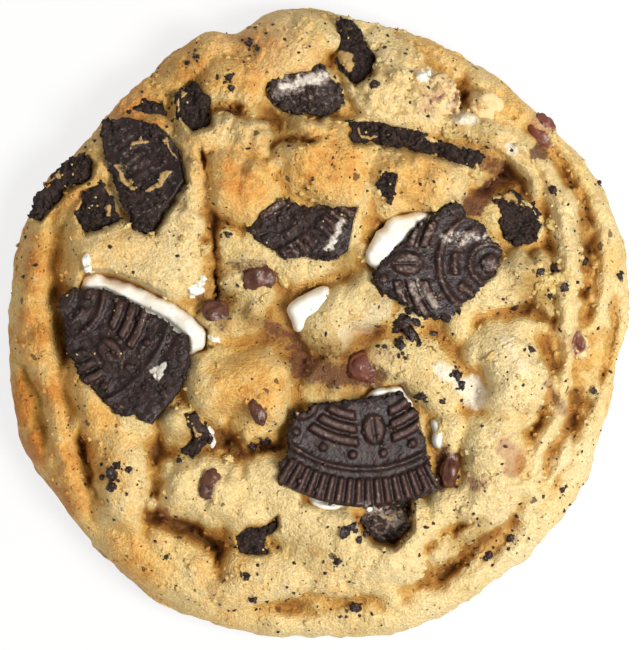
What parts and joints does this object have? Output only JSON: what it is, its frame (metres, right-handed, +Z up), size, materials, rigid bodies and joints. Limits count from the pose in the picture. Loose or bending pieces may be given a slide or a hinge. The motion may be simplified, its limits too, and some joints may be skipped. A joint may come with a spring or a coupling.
{
  "type": "cookies and creme drop cookie",
  "caption": "Thick round drop cookie of folded pale dough, set with broken chocolate sandwich wafers, white creme and chocolate chips.",
  "frame": {"origin": "centre of the bounding box's lower face, on the flat base", "axes": "+Z up, square to the flat base; +Y runs towards the side with the notch in the outline, as seen from above"},
  "size_m": [0.0897, 0.0909, 0.02],
  "materials": {
    "dough": "baked dough: matte, finely grained, golden on the crests, pale in the middle and brown in the creases",
    "wafer": "dark cocoa biscuit with a low relief and crumbly broken edges, faint sheen on the moulded face",
    "creme": "soft white creme filling, smooth and slightly glossy",
    "chocolate": "milk chocolate, softened and satin"
  },
  "bodies": {
    "root": {"dough": "dough", "wafer_front": "wafer", "wafer_left": "wafer", "wafer_right": "wafer", "wafer_front_lower": "wafer", "wafer_middle": "wafer", "wafer_upper_left": "wafer", "wafer_top": "wafer", "wafer_rear": "wafer", "wafer_bar": "wafer", "wafer_right_lobe": "wafer", "wafer_rim_left": "wafer", "wafer_left_nub": "wafer", "wafer_upper_sliver": "wafer", "wafer_upper_nub": "wafer", "wafer_golden_nub": "wafer", "wafer_curl": "wafer", "wafer_hook": "wafer", "creme_front": "creme", "creme_left": "creme", "creme_right": "creme", "creme_middle": "creme", "creme_corner": "creme", "chip_centre": "chocolate", "chip_by_left": "chocolate", "chip_lower_left": "chocolate", "chip_lower": "chocolate", "chip_melted": "chocolate", "chip_by_front": "chocolate", "chip_top": "chocolate", "chip_top_right": "chocolate", "chip_rim": "chocolate", "chip_right": "chocolate"}
  },
  "joints": []
}
